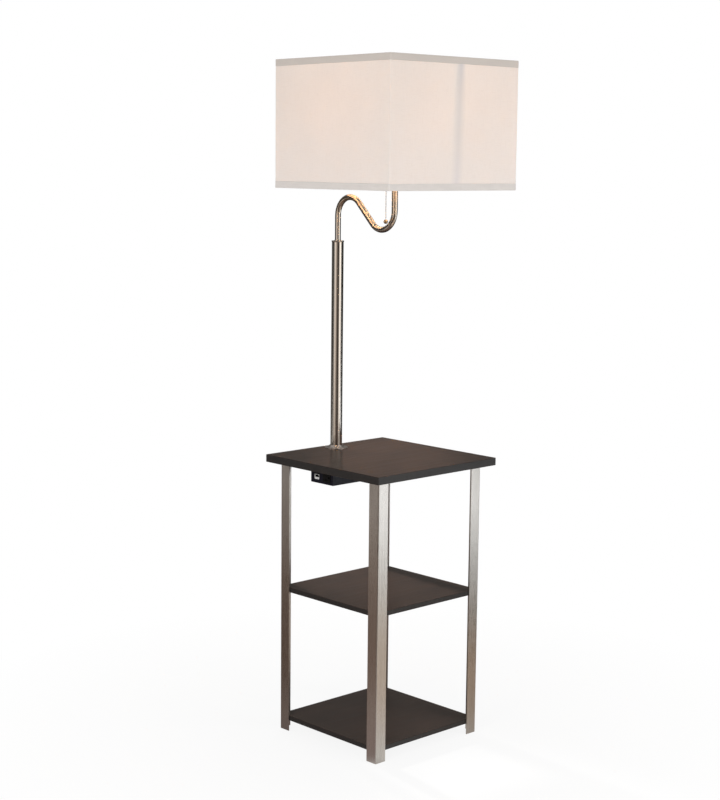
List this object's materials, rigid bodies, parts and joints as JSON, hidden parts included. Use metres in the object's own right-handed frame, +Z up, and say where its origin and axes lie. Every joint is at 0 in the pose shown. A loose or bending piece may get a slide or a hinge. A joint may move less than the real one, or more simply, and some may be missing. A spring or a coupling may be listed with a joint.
{
  "type": "floor lamp with table",
  "caption": "Floor lamp whose pole rises from a square side table with shelves; a bent arm carries a square fabric shade with a pull-chain socket.",
  "frame": {"origin": "on the floor, under the middle of the square table (the middle of its four feet)", "axes": "+Z up; the table's sides lie along X and Y; the pole stands at the middle of the rear (+Y) side and the arm reaches forward (-Y)"},
  "size_m": [0.4009, 0.4338, 1.5764],
  "materials": {
    "board": "dark wood-grain laminate, satin",
    "leg_steel": "brushed",
    "black_metal": "black, satin",
    "pole_steel": "brushed, satin nickel tone",
    "arm_steel": "brushed, satin nickel tone, warmed by the lamp above it",
    "zinc": "zinc-plated",
    "nylon": "natural nylon",
    "cable_black": "black cable sheath",
    "rubber_black": "black, matt",
    "brass": "satin",
    "insulator": "pressed fibre",
    "bakelite": "black moulding",
    "base_metal": "bare",
    "bulb": "frosted, lit",
    "shade_fabric": "off-white linen, stiffened",
    "trim_fabric": "off-white folded tape",
    "box_plastic": "black, fine texture",
    "outlet_plastic": "black",
    "usb_plastic": "white",
    "board_green": "circuit board with black and grey parts"
  },
  "bodies": {
    "stand": {"table_top": "board", "middle_shelf": "board", "bottom_shelf": "board", "leg_front_left": "leg_steel", "leg_front_right": "leg_steel", "leg_rear_left": "leg_steel", "leg_rear_right": "leg_steel", "leg_top_plates": "leg_steel", "shelf_brackets": "black_metal", "top_plate_screws": "zinc", "shelf_screws": "zinc", "escutcheon": "pole_steel", "pole_tube": "pole_steel", "pole_plug": "zinc", "pole_nipple": "zinc", "pole_washer": "zinc", "lock_washer": "zinc", "pole_nut": "zinc", "pole_collar": "pole_steel", "upper_bush": "nylon", "lower_bush": "nylon", "box_housing": "box_plastic", "box_mount_plate": "black_metal", "box_face": "box_plastic", "power_outlet": "outlet_plastic", "usb_port": "usb_plastic", "usb_socket": "outlet_plastic", "circuit_board": "board_green", "box_screws": "zinc", "box_grommets": "rubber_black", "lamp_lead": "cable_black", "lead_clips": "box_plastic"},
    "arm": {"arm_tube": "arm_steel", "arm_neck_ring": "arm_steel", "arm_retainer": "zinc", "arm_cable": "cable_black", "riser_stud": "zinc", "harp_saddle": "brass", "harp": "brass", "socket_cap": "brass", "socket_shell": "brass", "socket_liner": "insulator", "socket_core": "bakelite", "screw_shell": "brass", "switch_bell": "brass", "bulb_base": "base_metal", "bulb_glass": "bulb", "finial": "pole_steel"},
    "shade": {"shade_spider": "zinc", "shade_bottom_ring": "zinc", "shade_wrap": "shade_fabric", "shade_trim_top": "trim_fabric", "shade_trim_bottom": "trim_fabric"},
    "switch_link": {"pull_link": "zinc"},
    "hanger": {"chain_hanger": "zinc"},
    "chain": {"pull_chain": "zinc", "chain_ball": "brass"},
    "sleeve_front": {"harp_sleeve_front": "brass"},
    "sleeve_rear": {"harp_sleeve_rear": "brass"}
  },
  "joints": [
    {"name": "arm_swivel", "type": "hinge", "parent": "stand", "child": "arm", "pos_m": [0, 0.1545, 1.16], "axis": [0, 0, 1], "range_deg": [-157.5, 161.5]},
    {"name": "shade_turn", "type": "hinge", "parent": "arm", "child": "shade", "pos_m": [-0.00726, -0.04337, 1.5515], "axis": [0, 0, 1], "continuous": true},
    {"name": "chain_pull", "type": "slide", "parent": "arm", "child": "hanger", "axis": [0, 0, -1], "range_m": [0, 0.005], "stiffness_N_per_m": 800, "springref_m": -0.004},
    {"name": "switch_pull", "type": "slide", "parent": "arm", "child": "switch_link", "axis": [-0.9993, 0.0366, 0], "range_m": [0, 0.005]},
    {"name": "chain_swing", "type": "hinge", "parent": "hanger", "child": "chain", "pos_m": [-0.03414, -0.04238, 1.4051], "axis": [-0.9993, 0.0366, 0], "range_deg": [-30, 30]},
    {"name": "sleeve_front_lift", "type": "slide", "parent": "arm", "child": "sleeve_front", "axis": [0, 0, 1], "range_m": [0, 0.011]},
    {"name": "sleeve_rear_lift", "type": "slide", "parent": "arm", "child": "sleeve_rear", "axis": [0, 0, 1], "range_m": [0, 0.011]}
  ],
  "couplings": [
    {"joint": "switch_pull", "follows": "chain_pull", "ratio": 1}
  ]
}
